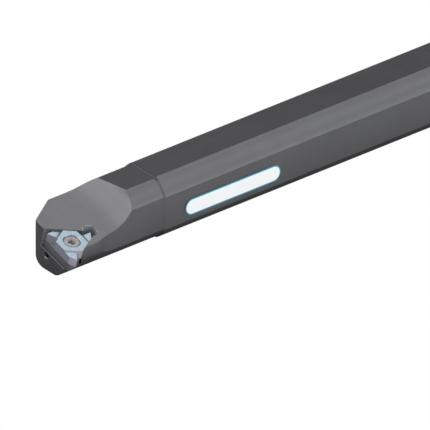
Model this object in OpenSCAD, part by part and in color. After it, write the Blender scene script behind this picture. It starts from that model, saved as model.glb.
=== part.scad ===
// Internal threading tool holder: a flatted boring bar with a lay-down triangular insert.
// The origin is the centre of the tail face, on the axis of the bar.
// +X points out of the tail, +Y is the back of the bar and +Z is up.

/* [Bar] */
// Diameter of the shank over its round corners
shank_d = 25; // [24:0.1:26.5]
// Distance across opposite flats of the shank
shank_flats = 22; // [21:0.1:23]
// Length of the bar from its front face to its tail face
bar_len = 200; // [150:5:250]
// Chamfer round the tail end
tail_chamfer = 2; // [0.4:0.1:3]

/* [Neck] */
// Step all round between the shank and the neck
neck_step = 0.44; // [0.1:0.02:0.8]
// Length of the neck behind the front face
neck_len = 40; // [36:0.5:60]
// Length of the sloping shoulder between the neck and the shank
shoulder_len = 0.5; // [0.2:0.1:3]
// Distance from the front face to the start of the front flat
front_flat_start = 21; // [18:0.5:26]
// Radius with which the front flat runs out towards the head
flat_runout_r = 28; // [15:1:40]

/* [Head] */
// Angle by which the insert seat leans towards the cutting side
seat_lean = 16.5; // [12:0.5:18]
// Length of the bevel behind the front face, along the bar
back_bevel_len = 10.5; // [7:0.1:12]
// Distance from the axis to the bevel at the front face
back_bevel_start = 4.5; // [3.8:0.1:6]
// Radius where the bevel meets the underside of the head
nose_round_r = 3.5; // [1:0.1:4]
// Small chamfer round the front face
nose_chamfer = 0.4; // [0.1:0.05:0.8]

/* [Chip gullet] */
// Height of the gullet floor over the axis, square to the floor
floor_h = 3.8; // [3.6:0.05:4.5]
// Distance from the front face to the start of the ramp
ramp_start = 17.6; // [17:0.1:22]
// Radius of the ramp
ramp_r = 11; // [8:0.1:14]
// Angle by which the ramp is turned towards the cutting side
ramp_turn = 2.5; // [0:0.5:12]

/* [Insert] */
// Diameter of the circle that touches the three sides
insert_ic = 9.525; // [8.5:0.025:10.5]
// Thickness of the insert
insert_t = 3.52; // [2.8:0.02:4]
// Height of the rake faces at the tips over the axis, square to them
rake_h = 3.1; // [2.8:0.05:3.2]
// Height of the middle of the insert over its rake faces
hub_rise = 0.45; // [0.1:0.05:0.6]
// Distance from the front face to the centre of the insert, along the bar
insert_x = 4.9; // [4.7:0.05:5.3]
// Distance from the round of the shank in to the centre of the insert, along the seat
insert_in = 5.4; // [5:0.05:5.7]
// Turn of the insert about its own centre
insert_turn = -1; // [-3:0.5:2]
// Included angle of the thread tooth at each corner
tooth_angle = 60; // [50:1:60]
// Distance along the edge from a sharp corner of the triangle to the tip of its tooth
tip_reach = 1.9; // [1.4:0.05:2.2]
// Width of the flat on the tip of the tooth
tip_flat = 0.3; // [0.1:0.05:0.5]
// Depth of the notch beside each tooth
notch_depth = 1.8; // [1:0.05:2]
// Width of the far side of the notch, along the edge
notch_run = 1.3; // [0.5:0.05:2]
// Length of the rake face behind a sharp corner
rake_len = 4.1; // [3.5:0.1:4.6]
// Radius with which the rake face rises to the middle of the insert
rake_r = 1.4; // [0.8:0.1:2]
// Diameter of the hole through the insert
insert_hole_d = 4.2; // [3.9:0.05:4.4]
// Diameter of the countersink on the rake face
sink_d = 5.8; // [5.6:0.05:6.8]

/* [Shim] */
// Thickness of the shim
shim_t = 3.1; // [2.2:0.1:3.6]
// Distance by which the sides of the shim stand back from those of the insert
shim_inset = 0.45; // [0.2:0.05:0.8]
// Radius about the bar's axis to which the shim is ground
shim_sweep_r = 13.2; // [12.9:0.1:14]

/* [Pocket] */
// Clearance between the insert and the walls of its pocket
seat_gap = 0.04; // [0.02:0.01:0.1]
// Radius of the relief hole at the inner corner of the pocket
relief_r = 2.4; // [1.8:0.1:2.6]
// Distance from the corner of the insert back to the middle of the relief hole
relief_in = 1.4; // [0.6:0.05:1.6]
// Distance by which the relief hole stands off towards the back of the bar
relief_off = 1.15; // [0.8:0.05:1.7]
// Depth of the relief hole below the shim
relief_extra = 0.4; // [0.2:0.1:0.8]

/* [Insert screw] */
// Diameter of the thread
screw_d = 3.5; // [3:0.1:3.8]
// Diameter of the head
screw_head_d = 5.3; // [4.8:0.05:5.5]
// Height of the cylindrical rim of the head
screw_rim = 0.25; // [0.1:0.05:0.3]
// Length of the screw under its rim
screw_len = 9.8; // [8.6:0.1:10.6]
// Distance across opposite lobes of the driver recess
lobe_span = 3.3; // [2.6:0.1:3.5]
// Depth of the driver recess
lobe_depth = 1.6; // [1:0.1:2]

/* [Shim screw] */
// Diameter of the thread
pin_d = 2.2; // [1.8:0.1:2.4]
// Diameter of the head
pin_head_d = 3.4; // [2.8:0.1:3.5]
// Height of the conical head
pin_head_h = 1; // [0.8:0.1:1.4]
// Length of the screw
pin_len = 6.2; // [5.2:0.1:7]
// Distance from the centre of the insert to the shim screw
pin_reach = 5; // [4.7:0.1:5.2]
// Distance across flats of the key recess
pin_key = 1.3; // [0.9:0.1:1.5]
// Depth of the key recess
pin_key_depth = 0.9; // [0.6:0.1:1.1]

/* [Coolant] */
// Tapping diameter of the inlet in the tail face
inlet_d = 8.8; // [7.4:0.1:9.5]
// Depth of the inlet
inlet_depth = 14; // [10:1:20]
// Width of the chamfer round the inlet
inlet_chamfer = 0.6; // [0.2:0.1:1]
// Diameter of the coolant bore along the bar
coolant_d = 3.4; // [2.4:0.1:3.8]
// Distance of the coolant bore from the axis, towards the back of the bar
coolant_back = 1.2; // [0:0.1:1.4]
// Distance of the coolant bore below the axis
coolant_drop = 2.2; // [1:0.1:2.3]
// Distance from the front face to the end of the coolant bore
coolant_end = 30; // [26:1:40]
// Diameter of the outlet in the front face
outlet_d = 2; // [1.2:0.1:2.2]
// Chamfer round the outlet
outlet_chamfer = 0.35; // [0.1:0.05:0.5]
// Distance of the outlet from the axis, towards the cutting side
outlet_side = 0.9; // [0.5:0.05:1.2]
// Distance of the outlet below the axis
outlet_drop = 5.3; // [5.2:0.05:5.8]

/* [Label] */
// Length of the label
label_len = 38.8; // [25:0.2:50]
// Height of the label
label_h = 6; // [4:0.1:7.6]
// Thickness of the label
label_t = 0.25; // [0.1:0.05:0.4]
// Distance from the front face to the middle of the label
label_x = 67.6; // [64:0.1:100]
// Distance of the middle of the label below the axis
label_drop = 1.2; // [0:0.1:2.2]

/* [Hidden] */
$fn = 96;

half_turn = 180;
quarter_turn = 90;
corner_turn = 120;
edge_angle = 30;
corners = 3;
lobes = 6;
// Included angle of the countersinks and of the conical screw heads
cone_angle = 60;
// Included angle of the points that the drills leave
drill_angle = 118;
// Cutters run past the faces that they cut by this much
over = 1;
// Cutters that clear everything beside the head are this wide
clear_w = 3 * shank_d;

shank_r = shank_d / 2;
insert_reach = shank_r - insert_in;
neck_r = shank_r - neck_step;
neck_flat = shank_flats / 2 - neck_step;
// Distance from the centre of the insert to its sharp corners
corner_r = insert_ic;
// Depth of the pocket under the top of the insert
pocket_h = insert_t + shim_t;

// Radial clearance of the screws in their tapped holes, and of the insert screw in its countersink
tap_gap = 0.03;
cone_gap = 0.02;
// Radial clearance of the screws in the insert and the shim
pass_gap = 0.25;
// Depth of the underside of the screw's rim below the top of the insert
screw_seat = cone_height(screw_head_d + 2 * cone_gap, sink_d);
// Height of the crown on the insert screw
screw_crown = 0.15;
// Depth of the tapped hole beyond the end of the shim screw
pin_hole_extra = 0.5;
// Radius of a lobe, and of the round core between the lobes, as shares of the recess
lobe_share = 0.17;
core_share = 0.38;

// Height of a countersink between two diameters
function cone_height(d1, d2) = (d2 - d1) / 2 / tan(cone_angle / 2);

// A point turned about the origin
function turned(p, a) = [p[0] * cos(a) - p[1] * sin(a), p[0] * sin(a) + p[1] * cos(a)];

// A point beside the sharp corner on +X: u along the edge to the next corner, v in from that edge
function edge_point(u, v) =
    [corner_r - u * cos(edge_angle) - v * sin(edge_angle), u * sin(edge_angle) - v * cos(edge_angle)];

// The tooth of each corner stands square to the bar when its corner is the one that cuts.
// Angles from the edge to the two flanks of the tooth, seen from its tip
tooth_square = quarter_turn - edge_angle - insert_turn;
near_flank = tooth_square - tooth_angle / 2;
far_flank = tooth_square + tooth_angle / 2;
// Where the far flank meets the edge to the last corner, as a length along that edge
far_reach = (tip_reach - tip_flat) * sin(far_flank) / sin(far_flank - 2 * edge_angle);
tooth = [
    [corner_r - far_reach * cos(edge_angle), -far_reach * sin(edge_angle)],
    edge_point(tip_reach - tip_flat, 0),
    edge_point(tip_reach, 0),
    edge_point(tip_reach + notch_depth / tan(near_flank), notch_depth),
    edge_point(tip_reach + notch_depth / tan(near_flank) + notch_run, 0)
];
insert_outline = [for (k = [0:corners - 1]) for (p = tooth) turned(p, corner_turn * k)];

// Puts what is drawn about the middle of the front face in its place
module from_front() {
    translate([-bar_len, 0, 0]) children();
}

// Stands what is drawn along +Z down the bar, towards the tail
module along_bar() {
    rotate([0, quarter_turn, 0]) children();
}

// Extrudes a side profile, drawn along the bar and up, to both sides of the axis
module across_bar(width) {
    rotate([quarter_turn, 0, 0]) linear_extrude(height = width, center = true) children();
}

// Leans what is drawn about the middle of the front face, as the insert seat leans
module on_seat() {
    from_front() rotate([seat_lean, 0, 0]) children();
}

// Puts what is drawn about the centre of the insert, down from its top, in its place
module at_insert() {
    on_seat() translate([insert_x, -insert_reach, rake_h + hub_rise])
        rotate([0, 0, insert_turn]) children();
}

// Puts what is drawn about the shim screw, down from the top of the shim, in its place
module at_pin() {
    at_insert() translate([pin_reach, 0, -insert_t]) children();
}

// Round cutter that goes down from the origin and also clears what is above it
module drill(d, depth, clear = over) {
    translate([0, 0, -depth]) cylinder(d = d, h = depth + clear);
}

// Conical cutter, widest at the origin
module countersink(d, hole_d) {
    depth = cone_height(hole_d, d);
    translate([0, 0, -depth]) cylinder(d1 = hole_d, d2 = d, h = depth);
    cylinder(d = d, h = over);
}

// Six-lobed driver recess, cut down from the origin
module lobe_recess(span, depth) {
    translate([0, 0, -depth]) linear_extrude(height = depth + over) {
        circle(r = span * core_share);
        for (k = [0:lobes - 1])
            rotate([0, 0, corner_turn / 2 * k])
                translate([span / 2 - span * lobe_share, 0]) circle(r = span * lobe_share);
    }
}

// Turned blank of the whole bar, before its flats are milled
module blank() {
    from_front() along_bar() rotate_extrude() polygon([
        [0, 0],
        [neck_r - nose_chamfer, 0],
        [neck_r, nose_chamfer],
        [neck_r, neck_len],
        [shank_r, neck_len + shoulder_len],
        [shank_r, bar_len - tail_chamfer],
        [shank_r - tail_chamfer, bar_len],
        [0, bar_len]
    ]);
}

// Side profile of what is milled off over a flat, from a distance behind the front face to past the tail
module flat_profile(start) {
    polygon([
        [start, neck_flat],
        [neck_len, neck_flat],
        [neck_len + shoulder_len, shank_flats / 2],
        [bar_len + over, shank_flats / 2],
        [bar_len + over, shank_d],
        [start, shank_d]
    ]);
}

module flat_cuts() {
    from_front() {
        for (turn = [-quarter_turn, 0, half_turn])
            rotate([turn, 0, 0]) across_bar(clear_w) flat_profile(-over);
        // The front flat runs out before it reaches the insert
        rotate([quarter_turn, 0, 0]) across_bar(clear_w) {
            flat_profile(front_flat_start);
            translate([front_flat_start, neck_flat + flat_runout_r]) circle(r = flat_runout_r);
        }
    }
}

// Bevel from the front face to the back flat, rounded where it meets the underside
module back_bevel_cut() {
    bevel_turn = atan2(neck_flat - back_bevel_start, back_bevel_len);
    from_front() translate([0, back_bevel_start, -neck_flat]) rotate([0, 0, bevel_turn])
        rotate([quarter_turn, 0, quarter_turn]) linear_extrude(height = clear_w, center = true) {
            translate([0, -over]) square([shank_d, 2 * shank_d]);
            difference() {
                translate([-nose_round_r, -over]) square([nose_round_r + over, nose_round_r + over]);
                translate([-nose_round_r, nose_round_r]) circle(r = nose_round_r);
            }
        }
}

// Everything over the gullet floor, and the concave ramp behind it
module gullet_cut() {
    on_seat() translate([ramp_start, 0, floor_h]) rotate([0, 0, ramp_turn]) across_bar(clear_w) {
        translate([-clear_w, 0]) square([clear_w, clear_w]);
        translate([0, ramp_r]) circle(r = ramp_r);
        translate([-over, ramp_r]) square([ramp_r + over, clear_w]);
    }
}

// Pocket for the insert and its shim: two walls that meet at the inner corner, open everywhere else
module pocket_cut() {
    apex = corner_r + 2 * seat_gap;
    at_insert() translate([0, 0, -pocket_h]) {
        linear_extrude(height = pocket_h + shank_d) polygon([
            [apex, 0],
            [apex - clear_w * cos(edge_angle), clear_w * sin(edge_angle)],
            [apex - clear_w * cos(edge_angle), -clear_w * sin(edge_angle)]
        ]);
        translate([corner_r - relief_in, relief_off, -relief_extra])
            cylinder(r = relief_r, h = pocket_h + shank_d);
    }
}

module screw_holes() {
    at_insert() drill(screw_d + 2 * tap_gap, pocket_h + shank_d);
    at_pin() translate([0, 0, -pin_len - pin_hole_extra]) {
        hole_d = pin_d + 2 * tap_gap;
        point_h = hole_d / 2 / tan(drill_angle / 2);
        cylinder(d = hole_d, h = pin_len);
        translate([0, 0, -point_h]) cylinder(d1 = 0, d2 = hole_d, h = point_h);
    }
}

module coolant_cuts() {
    inlet_point = inlet_d / 2 / tan(drill_angle / 2);
    along_bar() {
        drill(inlet_d, inlet_depth);
        translate([0, 0, -inlet_depth - inlet_point])
            cylinder(d1 = 0, d2 = inlet_d, h = inlet_point);
        translate([0, 0, -inlet_chamfer])
            cylinder(d1 = inlet_d, d2 = inlet_d + 2 * inlet_chamfer, h = inlet_chamfer);
    }
    translate([0, coolant_back, -coolant_drop]) along_bar()
        drill(coolant_d, bar_len - coolant_end, -inlet_depth + over);
    // The outlet slopes down from the end of the bore to the front face, under the shim
    from_front() translate([0, -outlet_side, -outlet_drop]) {
        rotate([0, 0, atan2(coolant_back + outlet_side, coolant_end)])
            rotate([0, -atan2(outlet_drop - coolant_drop, coolant_end), 0])
                along_bar() translate([0, 0, -over]) cylinder(d = outlet_d, h = coolant_end + 2 * over);
        along_bar() cylinder(d1 = outlet_d + 2 * outlet_chamfer, d2 = outlet_d, h = outlet_chamfer);
    }
}

module bar() {
    color("dimgray")
        difference() {
            blank();
            flat_cuts();
            back_bevel_cut();
            gullet_cut();
            pocket_cut();
            screw_holes();
            coolant_cuts();
        }
}

module shim() {
    color("slategray")
        intersection() {
            at_insert() difference() {
                translate([0, 0, -pocket_h]) linear_extrude(height = shim_t)
                    circle(r = corner_r - 2 * shim_inset, $fn = corners);
                drill(screw_d + 2 * pass_gap, pocket_h + over);
                translate([pin_reach, 0, -insert_t]) {
                    drill(pin_d + 2 * pass_gap, shim_t + over);
                    countersink(pin_head_d + 2 * pass_gap, pin_d + 2 * pass_gap);
                }
            }
            // The outer corner is ground round, to clear the hole that the tool works in
            from_front() along_bar() cylinder(r = shim_sweep_r, h = clear_w, center = true);
        }
}

module shim_screw() {
    color("dimgray")
        at_pin() translate([0, 0, -pass_gap]) difference() {
            union() {
                translate([0, 0, -pin_head_h]) cylinder(d1 = pin_d, d2 = pin_head_d, h = pin_head_h);
                translate([0, 0, -pin_len]) cylinder(d = pin_d, h = pin_len - pin_head_h / 2);
            }
            translate([0, 0, -pin_key_depth])
                cylinder(d = pin_key / cos(edge_angle), h = pin_key_depth + over, $fn = lobes);
        }
}

module threading_insert() {
    color("lightsteelblue")
        at_insert() difference() {
            translate([0, 0, -insert_t]) linear_extrude(height = insert_t) polygon(insert_outline);
            drill(insert_hole_d, insert_t + over);
            countersink(sink_d, insert_hole_d);
            // Rake faces, ground down behind each tip and rising to the middle
            for (k = [0:corners - 1])
                rotate([0, 0, corner_turn * k]) translate([corner_r - rake_len, 0, -hub_rise])
                    across_bar(2 * insert_ic) {
                        square([rake_len + over, rake_r + over]);
                        translate([0, rake_r]) circle(r = rake_r);
                    }
        }
}

module insert_screw() {
    cone_h = cone_height(screw_d, screw_head_d);
    crown_r = (pow(screw_head_d / 2, 2) + pow(screw_crown, 2)) / (2 * screw_crown);
    color("silver")
        at_insert() translate([0, 0, -screw_seat]) difference() {
            union() {
                cylinder(d = screw_head_d, h = screw_rim);
                translate([0, 0, screw_rim]) intersection() {
                    cylinder(d = screw_head_d, h = screw_crown);
                    translate([0, 0, screw_crown - crown_r]) sphere(r = crown_r);
                }
                translate([0, 0, -cone_h]) cylinder(d1 = screw_d, d2 = screw_head_d, h = cone_h);
                translate([0, 0, -screw_len]) cylinder(d = screw_d, h = screw_len);
            }
            translate([0, 0, screw_rim + screw_crown]) lobe_recess(lobe_span, lobe_depth);
        }
}

module label() {
    straight = label_len - label_h;
    color("white")
        from_front() translate([label_x, -shank_flats / 2, -label_drop])
            rotate([quarter_turn, 0, 0]) linear_extrude(height = label_t) {
                square([straight, label_h], center = true);
                for (side = [-1, 1])
                    translate([side * straight / 2, 0]) circle(d = label_h);
            }
}

bar();
shim();
shim_screw();
threading_insert();
insert_screw();
label();
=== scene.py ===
import math

import bmesh
import bpy
from mathutils import Matrix, Vector


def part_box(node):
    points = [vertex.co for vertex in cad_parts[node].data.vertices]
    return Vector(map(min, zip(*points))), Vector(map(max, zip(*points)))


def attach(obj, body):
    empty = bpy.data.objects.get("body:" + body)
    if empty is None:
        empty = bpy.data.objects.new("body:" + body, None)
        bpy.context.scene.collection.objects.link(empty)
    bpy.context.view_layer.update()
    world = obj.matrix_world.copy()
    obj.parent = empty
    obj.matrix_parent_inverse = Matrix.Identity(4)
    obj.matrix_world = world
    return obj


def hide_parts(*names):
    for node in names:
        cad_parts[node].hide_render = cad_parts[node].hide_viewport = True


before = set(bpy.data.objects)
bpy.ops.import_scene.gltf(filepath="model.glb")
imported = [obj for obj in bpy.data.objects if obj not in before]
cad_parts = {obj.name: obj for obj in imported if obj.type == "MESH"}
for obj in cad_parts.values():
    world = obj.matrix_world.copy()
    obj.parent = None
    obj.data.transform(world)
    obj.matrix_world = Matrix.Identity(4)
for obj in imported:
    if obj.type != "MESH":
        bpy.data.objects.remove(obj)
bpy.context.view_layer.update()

scene = bpy.context.scene
scene.view_settings.view_transform = "Standard"

MM = 0.001
low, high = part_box("bar")
FRONT = Vector((low.x, 0.0, 0.0))          # middle of the front face
SEAT_LEAN = math.radians(16.5)             # the insert seat leans towards the cutting side
SEAT_UP = Vector((0.0, -math.sin(SEAT_LEAN), math.cos(SEAT_LEAN)))
SEAT_BACK = SEAT_UP.cross(Vector((1, 0, 0)))
NECK_END = FRONT.x + 40 * MM               # where the neck steps up to the shank
GULLET_END = FRONT.x + 26 * MM
# Axes along SEAT_UP: their place along X and along SEAT_BACK
INSERT_AXIS = (-195.1 * MM, -7.1 * MM)
RELIEF_AXIS = (-187.0 * MM, -6.1 * MM)


# ---------------------------------------------------------------- materials
def srgb(r, g, b):
    def lin(c):
        c /= 255
        return c / 12.92 if c <= 0.04045 else ((c + 0.055) / 1.055) ** 2.4
    return (lin(r), lin(g), lin(b), 1.0)


def scaled(color, k):
    return tuple(min(1.0, c * k) for c in color[:3]) + (1.0,)


class Nodes:
    """A material's node tree, with short calls for adding and joining nodes."""

    def __init__(self, name):
        self.mat = bpy.data.materials.new(name)
        self.mat.use_nodes = True
        self.tree = self.mat.node_tree
        self.tree.nodes.clear()
        self.out = self.add("ShaderNodeOutputMaterial")
        self.bsdf = self.add("ShaderNodeBsdfPrincipled")
        self.join(self.bsdf.outputs[0], self.out.inputs["Surface"])
        self.normal = None

    def add(self, kind, **values):
        node = self.tree.nodes.new(kind)
        for key, value in values.items():
            if hasattr(node, key):
                setattr(node, key, value)
            else:
                node.inputs[key].default_value = value
        return node

    def join(self, a, b):
        self.tree.links.new(a, b)

    def set(self, name, value):
        self.bsdf.inputs[name].default_value = value

    def feed(self, socket, value):
        if hasattr(value, "is_linked"):
            self.join(value, socket)
        else:
            socket.default_value = value

    def coords(self, scale=(1, 1, 1), turn=(0, 0, 0), place=(0, 0, 0)):
        tex = self.add("ShaderNodeTexCoord")
        mapping = self.add("ShaderNodeMapping")
        mapping.inputs["Location"].default_value = place
        mapping.inputs["Scale"].default_value = scale
        mapping.inputs["Rotation"].default_value = turn
        self.join(tex.outputs["Object"], mapping.inputs["Vector"])
        return mapping.outputs[0]

    def noise(self, vector, scale=1.0, detail=3.0, rough=0.5):
        node = self.add("ShaderNodeTexNoise")
        node.inputs["Scale"].default_value = scale
        node.inputs["Detail"].default_value = detail
        node.inputs["Roughness"].default_value = rough
        self.join(vector, node.inputs["Vector"])
        return node.outputs[0]

    def spread(self, value, low_out, high_out, low_in=0.3, high_in=0.7):
        node = self.add("ShaderNodeMapRange")
        node.inputs[1].default_value = low_in
        node.inputs[2].default_value = high_in
        node.inputs[3].default_value = low_out
        node.inputs[4].default_value = high_out
        self.join(value, node.inputs[0])
        return node.outputs[0]

    def math(self, operation, a, b=0.0):
        node = self.add("ShaderNodeMath", operation=operation)
        self.feed(node.inputs[0], a)
        self.feed(node.inputs[1], b)
        return node.outputs[0]

    def mix(self, factor, a, b):
        node = self.add("ShaderNodeMix", data_type="RGBA")
        self.feed(node.inputs[6], a)
        self.feed(node.inputs[7], b)
        self.feed(node.inputs[0], factor)
        return node.outputs[2]

    def bump(self, height, strength, distance):
        node = self.add("ShaderNodeBump")
        node.inputs["Strength"].default_value = strength
        node.inputs["Distance"].default_value = distance
        self.join(height, node.inputs["Height"])
        if self.normal:
            self.join(self.normal, node.inputs["Normal"])
        self.normal = node.outputs[0]
        self.join(self.normal, self.bsdf.inputs["Normal"])

    def edges(self, radius):
        """1 along the piece's edges, within the radius, and 0 on its faces."""
        wide = self.add("ShaderNodeBevel", samples=6)
        wide.inputs["Radius"].default_value = radius
        plain = self.add("ShaderNodeNewGeometry")
        dot = self.add("ShaderNodeVectorMath", operation="DOT_PRODUCT")
        self.join(wide.outputs[0], dot.inputs[0])
        self.join(plain.outputs["Normal"], dot.inputs[1])
        return self.spread(dot.outputs["Value"], 1.0, 0.0, 0.86, 0.995)

    def facing(self, direction, low_in, high_in):
        """1 where the surface faces the direction, which is fixed in the object's frame."""
        geometry = self.add("ShaderNodeNewGeometry")
        dot = self.add("ShaderNodeVectorMath", operation="DOT_PRODUCT")
        self.join(geometry.outputs["True Normal"], dot.inputs[0])
        dot.inputs[1].default_value = direction
        return self.spread(dot.outputs["Value"], 0.0, 1.0, low_in, high_in)

    def along(self, axis, low_in, high_in):
        """0 to 1 between two places along an axis of the frame, in metres."""
        tex = self.add("ShaderNodeTexCoord")
        split = self.add("ShaderNodeSeparateXYZ")
        self.join(tex.outputs["Object"], split.inputs[0])
        return self.spread(split.outputs[axis], 0.0, 1.0, low_in, high_in)


def bar_material():
    """Dark satin steel: ground along the bar, milled across in the gullet, paler along its edges."""
    n = Nodes("bar_steel")
    n.set("Metallic", 1.0)
    color = srgb(98, 98, 100)
    cloud = n.noise(n.coords((60, 60, 60)), 1.0, 5.0, 0.6)
    smear = n.noise(n.coords((18, 160, 160)), 1.0, 4.0, 0.6)
    tone = n.mix(n.spread(cloud, 0.0, 1.0), scaled(color, 0.93), scaled(color, 1.05))
    tone = n.mix(n.spread(smear, 0.0, 0.35), tone, srgb(92, 94, 99))
    patchy = n.spread(n.noise(n.coords((500, 500, 500)), 1.0, 3.0), 0.15, 0.5)
    worn = n.math("MULTIPLY", n.edges(0.25 * MM), patchy)
    tone = n.mix(worn, tone, srgb(150, 150, 152))
    # Painted shade: the narrow step at the end of the neck is painted dark where it runs out at the top
    # flat, against the lamps' highlight on it
    painted_step_shade = n.math("MULTIPLY",
                  n.along("X", NECK_END - 0.2 * MM, NECK_END - 0.05 * MM),
                  n.along("X", NECK_END + 0.75 * MM, NECK_END + 0.6 * MM))
    painted_step_shade = n.math("MULTIPLY", painted_step_shade, n.along("Z", 10.0 * MM, 10.5 * MM))
    n.join(n.mix(painted_step_shade, tone, srgb(58, 58, 60)), n.bsdf.inputs["Base Color"])
    ground = n.noise(n.coords((30, 2600, 2600)), 1.0, 4.0, 0.65)
    milled = n.noise(n.coords((3200, 60, 60), (0, 0, math.radians(12))), 1.0, 3.0, 0.6)
    head = n.along("X", GULLET_END + 3 * MM, GULLET_END)
    up = n.math("MULTIPLY", head, n.facing(SEAT_UP, 0.2, 0.5))
    lines = n.add("ShaderNodeMix", data_type="FLOAT")
    n.join(up, lines.inputs[0])
    n.join(ground, lines.inputs[2])
    n.join(milled, lines.inputs[3])
    lines = lines.outputs[0]
    n.join(n.spread(lines, 0.36, 0.44), n.bsdf.inputs["Roughness"])
    n.bump(lines, 0.16, 0.01 * MM)
    n.bump(n.noise(n.coords((900, 900, 900)), 1.0, 3.0, 0.6), 0.1, 0.01 * MM)
    return n.mat


def coat_material():
    """The insert's coating: pale blue-grey on the rake side, mauve on the flanks, grey along worn edges."""
    n = Nodes("insert_coat")
    n.set("Metallic", 1.0)
    cloud = n.noise(n.coords((700, 700, 700)), 1.0, 4.0, 0.6)
    top = n.mix(n.spread(cloud, 0.0, 1.0), srgb(129, 143, 155), srgb(142, 154, 163))
    flank = n.mix(n.spread(cloud, 0.0, 1.0), srgb(164, 162, 178), srgb(174, 174, 186))
    tone = n.mix(n.facing(SEAT_UP, 0.35, 0.8), flank, top)
    worn = n.math("MULTIPLY", n.edges(0.12 * MM), 0.55)
    n.join(n.mix(worn, tone, srgb(176, 184, 190)), n.bsdf.inputs["Base Color"])
    fine = n.noise(n.coords((2500, 2500, 2500)), 1.0, 3.0, 0.6)
    n.join(n.spread(fine, 0.3, 0.4), n.bsdf.inputs["Roughness"])
    n.bump(fine, 0.12, 0.005 * MM)
    return n.mat


def plain_metal(name, color, pale, rough, radius, metallic=1.0):
    """One metal, clouded, and paler within the radius of its edges."""
    n = Nodes(name)
    n.set("Metallic", metallic)
    cloud = n.noise(n.coords((500, 500, 500)), 1.0, 4.0, 0.6)
    tone = n.mix(n.spread(cloud, 0.0, 1.0), scaled(color, 0.9), scaled(color, 1.06))
    worn = n.math("MULTIPLY", n.edges(radius), 0.6)
    n.join(n.mix(worn, tone, pale), n.bsdf.inputs["Base Color"])
    fine = n.noise(n.coords((1800, 1800, 1800)), 1.0, 3.0, 0.6)
    n.join(n.spread(fine, rough - 0.05, rough + 0.05), n.bsdf.inputs["Roughness"])
    n.bump(fine, 0.12, 0.005 * MM)
    return n.mat


def paint_material(name, color, rough):
    n = Nodes(name)
    fine = n.noise(n.coords((1500, 1500, 1500)), 1.0, 3.0, 0.6)
    n.join(n.mix(n.spread(fine, 0.0, 1.0), scaled(color, 0.985), color), n.bsdf.inputs["Base Color"])
    n.join(n.spread(fine, rough - 0.04, rough + 0.04), n.bsdf.inputs["Roughness"])
    n.bump(fine, 0.06, 0.005 * MM)
    return n.mat


bar_steel = bar_material()
insert_coat = coat_material()
# Painted light: the relief hole gets a pale, half-metallic steel, so that its walls look lit where they lie
# in shade
relief_hole_painted_light = plain_metal("relief_hole_painted_light", srgb(192, 196, 200), srgb(206, 208, 212),
                         0.45, 0.1 * MM, metallic=0.5)
# Painted light: the pocket's walls get a paler, less metallic steel than the bar, so that they look lit
# where they lie in shade
pocket_painted_light = plain_metal("pocket_painted_light", srgb(124, 126, 130), srgb(150, 150, 152),
                           0.45, 0.1 * MM, metallic=0.6)
# Painted light: the screw's recess gets a pale, mostly diffuse colour, so that it looks lit where it lies
# in shade
recess_painted_light = plain_metal("recess_painted_light", srgb(206, 198, 192), srgb(214, 208, 204),
                           0.5, 0.08 * MM, metallic=0.25)
shim_carbide = plain_metal("shim_carbide", srgb(124, 124, 130), srgb(160, 160, 166), 0.36, 0.15 * MM)
screw_steel = plain_metal("screw_steel", srgb(130, 132, 137), srgb(166, 168, 173), 0.34, 0.1 * MM)
label_white = paint_material("label_white", srgb(247, 250, 251), 0.4)
label_rim = paint_material("label_rim", srgb(38, 140, 160), 0.4)


# ---------------------------------------------------------------- pieces
INLET_DEPTH = 14 * MM


def softened(node, width, segments=2, inner=True, kept=()):
    """A copy of a node's mesh with its edges broken by a small radius.

    Inner edges stay as they are where asked, and so do those that reach into a kept ball.
    """
    bm = bmesh.new()
    bm.from_mesh(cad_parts[node].data)
    bmesh.ops.remove_doubles(bm, verts=bm.verts, dist=0.002 * MM)
    if node == "bar":
        # A flat left over between the inlet's bore and its drill point closes nothing
        flat = [f for f in bm.faces
                if all(abs(v.co.x + INLET_DEPTH) < 0.001 * MM for v in f.verts)]
        bmesh.ops.delete(bm, geom=flat, context="FACES_ONLY")
        loose = [e for e in bm.edges if not e.link_faces]
        bmesh.ops.delete(bm, geom=loose, context="EDGES")
    bmesh.ops.dissolve_limit(bm, angle_limit=math.radians(0.4), use_dissolve_boundaries=False,
                             verts=bm.verts, edges=bm.edges, delimit=set())
    sharp = [e for e in bm.edges if len(e.link_faces) == 2 and e.calc_face_angle(0) > math.radians(25)
             and (inner or e.is_convex)
             and not any((v.co - Vector(middle)).length < reach for middle, reach in kept for v in e.verts)]
    bmesh.ops.bevel(bm, geom=sharp, offset=width, offset_type="OFFSET", segments=segments, profile=0.5,
                    affect="EDGES", clamp_overlap=False, miter_outer="ARC")
    a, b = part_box(node)
    for v in bm.verts:
        v.co = Vector(min(max(v.co[i], a[i]), b[i]) for i in range(3))
    return bm


def placed(name, bm, materials, *stands_for):
    """Puts a piece in the scene in place of CAD nodes, fixed to the root."""
    mesh = bpy.data.meshes.new(name)
    bm.to_mesh(mesh)
    bm.free()
    for material in materials:
        mesh.materials.append(material)
    mesh.shade_smooth()
    mesh.set_sharp_from_angle(angle=math.radians(38))
    piece = bpy.data.objects.new(name, mesh)
    scene.collection.objects.link(piece)
    even = piece.modifiers.new("even", "WEIGHTED_NORMAL")
    even.keep_sharp = True
    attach(piece, "root")
    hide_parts(*stands_for)


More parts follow.
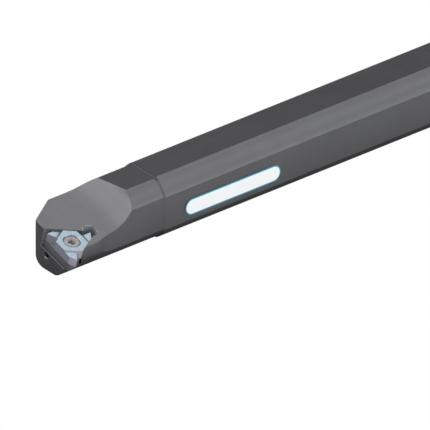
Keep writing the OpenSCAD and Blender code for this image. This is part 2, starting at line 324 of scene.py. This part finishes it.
def add_thread(bm, start, end, pitch, wall, crest, steps=40):
    """A ridge wound inside the inlet, on its wall, as a tapped thread leaves it."""
    turns = (start - end) / pitch
    count = int(turns * steps)
    rows = []
    for k in range(count + 1):
        a = 2 * math.pi * k / steps
        x = start - pitch * k / steps
        grown = min(1.0, (k + 2) / steps, (count - k + 2) / steps)
        tip = wall - (wall - crest) * grown
        rows.append([bm.verts.new((x + d, r * math.cos(a), r * math.sin(a)))
                     for d, r in ((pitch * 0.42, wall), (pitch * 0.06, tip),
                                  (-pitch * 0.06, tip), (-pitch * 0.42, wall))])
    for p, q in zip(rows, rows[1:]):
        for i in range(4):
            bm.faces.new((p[i], p[(i + 1) % 4], q[(i + 1) % 4], q[i]))
    bm.faces.new(rows[0][::-1])
    bm.faces.new(rows[-1])


def within(bm, slot, axis, radius, under=1.0, inward=-1.0):
    """Gives a material slot to the faces round an axis, under a level along it and turned towards it."""
    for f in bm.faces:
        c = f.calc_center_median()
        u, v = axis[0] - c.x, axis[1] - c.dot(SEAT_BACK)
        away = math.hypot(u, v)
        turned = (f.normal.x * u + f.normal.dot(SEAT_BACK) * v) / max(away, 1e-9)
        if away < radius and c.dot(SEAT_UP) < under and f.normal.dot(SEAT_UP) < 0.995 and turned > inward:
            f.material_index = slot


# The edges of the small outlet and of the inlet's bottom stay as they are
outlet = (FRONT.x, -0.9 * MM, -5.3 * MM)
inlet_bottom = (-15 * MM, 0.0, 0.0)
bar_bm = softened("bar", 0.12 * MM, kept=((outlet, 1.7 * MM), (inlet_bottom, 5.2 * MM)))
bar_bm.normal_update()
within(bar_bm, 2, INSERT_AXIS, 9.0 * MM, 3.0 * MM, 0.4)      # the walls of the pocket, painted paler against their shade
within(bar_bm, 1, RELIEF_AXIS, 2.45 * MM)                    # the relief hole, painted pale as if lit
add_thread(bar_bm, -1.2 * MM, -12.2 * MM, 0.907 * MM, 4.41 * MM, 4.02 * MM)
placed("bar_body", bar_bm, [bar_steel, relief_hole_painted_light, pocket_painted_light], "bar")
placed("insert_body", softened("threading_insert", 0.06 * MM, segments=3, inner=False),
       [insert_coat], "threading_insert")
placed("shim_body", softened("shim", 0.1 * MM), [shim_carbide], "shim")
screw_bm = softened("insert_screw", 0.05 * MM)
screw_bm.normal_update()
within(screw_bm, 1, INSERT_AXIS, 1.66 * MM, 3.36 * MM)       # its recess, painted pale as if lit
placed("insert_screw_body", screw_bm, [screw_steel, recess_painted_light], "insert_screw")
placed("shim_screw_body", softened("shim_screw", 0.05 * MM), [screw_steel], "shim_screw")

label_bm = softened("label", 0.06 * MM)
front_face = max((f for f in label_bm.faces if f.normal.y < -0.9), key=lambda f: f.calc_area())
bmesh.ops.inset_region(label_bm, faces=[front_face], thickness=0.42 * MM, depth=0.0)
for f in label_bm.faces:
    f.material_index = 1
front_face.material_index = 0
placed("label_plate", label_bm, [label_white, label_rim], "label")


# ---------------------------------------------------------------- floor and light
def area(name, position, target, size, power):
    """A white rectangular lamp, turned towards its target."""
    lamp = bpy.data.lights.new(name, "AREA")
    lamp.shape = "RECTANGLE"
    lamp.size, lamp.size_y = size
    lamp.energy = power
    obj = bpy.data.objects.new(name, lamp)
    scene.collection.objects.link(obj)
    obj.location = position
    obj.rotation_euler = (Vector(target) - Vector(position)).to_track_quat("-Z", "Y").to_euler()


floor_mesh = bpy.data.meshes.new("floor")
half = 3.0
corners = [(-half, -half, 0), (half, -half, 0), (half, half, 0), (-half, half, 0)]
floor_mesh.from_pydata(corners, [], [(0, 1, 2, 3)])
floor = bpy.data.objects.new("floor", floor_mesh)
floor.location = (0, 0, low.z - 0.00005)
scene.collection.objects.link(floor)

# The floor is white to the camera. The metal mirrors it too, with painted shadow: white in front of the
# bar, greyer from its foot on, and dark close under it, where ambient occlusion darkens the mirrored white.
FLOOR_FRONT = 1.0
FLOOR_SHADED_BEHIND = 0.40
paper = Nodes("paper")
paper.set("Base Color", (0.8, 0.8, 0.8, 1))
paper.set("Roughness", 0.9)
path = paper.add("ShaderNodeLightPath")
painted_contact_shadow = paper.add("ShaderNodeAmbientOcclusion", samples=8)
painted_contact_shadow.inputs["Distance"].default_value = 0.03
mirrored = paper.math("MAXIMUM", path.outputs["Is Glossy Ray"], path.outputs["Is Transmission Ray"])
# Painted shade: the mirrored white greys from the bar's foot backwards
behind = paper.along("Y", -17 * MM, -10 * MM)
behind = paper.spread(behind, FLOOR_FRONT, FLOOR_SHADED_BEHIND, 0.0, 1.0)
level = paper.math("MULTIPLY", painted_contact_shadow.outputs["AO"], behind)
level = paper.math("MAXIMUM", level, path.outputs["Is Camera Ray"])
white = paper.add("ShaderNodeEmission")
white.inputs["Color"].default_value = (1, 1, 1, 1)
paper.join(level, white.inputs["Strength"])
blend = paper.add("ShaderNodeMixShader")
paper.join(paper.math("MAXIMUM", mirrored, path.outputs["Is Camera Ray"]), blend.inputs[0])
paper.join(paper.bsdf.outputs[0], blend.inputs[1])
paper.join(white.outputs[0], blend.inputs[2])
paper.join(blend.outputs[0], paper.out.inputs["Surface"])
floor_mesh.materials.append(paper.mat)

# The studio is white to the camera and in the metal, with one dark wall behind the bar,
# which the top flat mirrors.
world = bpy.data.worlds.new("studio")
scene.world = world
world.use_nodes = True
tree = world.node_tree
tree.nodes.clear()
out = tree.nodes.new("ShaderNodeOutputWorld")
soft = tree.nodes.new("ShaderNodeBackground")
soft.inputs["Color"].default_value = (1, 1, 1, 1)
soft.inputs["Strength"].default_value = 0.62
seen = tree.nodes.new("ShaderNodeBackground")
seen.inputs["Color"].default_value = (1, 1, 1, 1)
seen.inputs["Strength"].default_value = 1.0
walls = tree.nodes.new("ShaderNodeBackground")
walls.inputs["Color"].default_value = (1, 1, 1, 1)
place = tree.nodes.new("ShaderNodeTexCoord")
toward = tree.nodes.new("ShaderNodeVectorMath")
toward.operation = "DOT_PRODUCT"
toward.inputs[1].default_value = (0.45, 0.85, 0.28)
tree.links.new(place.outputs["Generated"], toward.inputs[0])
shade = tree.nodes.new("ShaderNodeMapRange")
shade.interpolation_type = "SMOOTHSTEP"
shade.inputs[1].default_value = 0.62
shade.inputs[2].default_value = 0.94
shade.inputs[3].default_value = 1.0
shade.inputs[4].default_value = 0.12
tree.links.new(toward.outputs["Value"], shade.inputs[0])
tree.links.new(shade.outputs[0], walls.inputs["Strength"])
rays = tree.nodes.new("ShaderNodeLightPath")
either = tree.nodes.new("ShaderNodeMath")
either.operation = "MAXIMUM"
tree.links.new(rays.outputs["Is Glossy Ray"], either.inputs[0])
tree.links.new(rays.outputs["Is Transmission Ray"], either.inputs[1])
first = tree.nodes.new("ShaderNodeMixShader")
tree.links.new(either.outputs[0], first.inputs[0])
tree.links.new(soft.outputs[0], first.inputs[1])
tree.links.new(walls.outputs[0], first.inputs[2])
second = tree.nodes.new("ShaderNodeMixShader")
tree.links.new(rays.outputs["Is Camera Ray"], second.inputs[0])
tree.links.new(first.outputs[0], second.inputs[1])
tree.links.new(seen.outputs[0], second.inputs[2])
tree.links.new(second.outputs[0], out.inputs["Surface"])

head = FRONT + Vector((0.06, 0, 0))
LAMP_DISTANCE = 0.9
LAMPS = (                                  # name, direction from the head, size in metres, watts
    ("overhead", (0.2, 0.25, 0.95), (1.0, 0.5), 1.6),
    ("gullet", (0.54, 0.38, 0.75), (0.6, 0.3), 0.6),
    ("band", (0.54, -0.49, 0.68), (0.4, 0.3), 0.48),
    ("front_low", (0.5, -0.8, 0.05), (1.6, 0.5), 4.6),
    ("left_top", (-0.3, 0.35, 0.85), (0.5, 0.4), 1.0),
    ("left_back", (-0.5, 0.6, 0.6), (0.8, 0.6), 2.8),
    ("left_mid", (-0.85, 0.1, 0.5), (0.6, 0.6), 0.5),
    ("left_low", (-0.95, 0.25, 0.15), (0.6, 0.4), 1.55),
)
for name, direction, size, power in LAMPS:
    area(name, head + Vector(direction).normalized() * LAMP_DISTANCE, head, size, power)


# ---------------------------------------------------------------- camera
RIGHT = Vector((0.7793, -0.6266, 0.0)).normalized()
BACK = Vector((-0.5427, -0.6749, 0.5)).normalized()
UP = BACK.cross(RIGHT).normalized()
PX_PER_M = 3160.0
PICTURE = 430.0                            # pixels across

CAMERA_DISTANCE = 0.8

camera_data = bpy.data.cameras.new("camera")
camera_data.type = "ORTHO"
camera_data.ortho_scale = PICTURE / PX_PER_M
camera_data.clip_start = 0.01
camera_data.clip_end = 10.0
camera = bpy.data.objects.new("camera", camera_data)
scene.collection.objects.link(camera)
middle = FRONT + RIGHT * 0.05401 + UP * 0.00791
turned = Matrix((RIGHT, UP, BACK)).transposed().to_4x4()
camera.matrix_world = Matrix.Translation(middle + BACK * CAMERA_DISTANCE) @ turned
scene.camera = camera
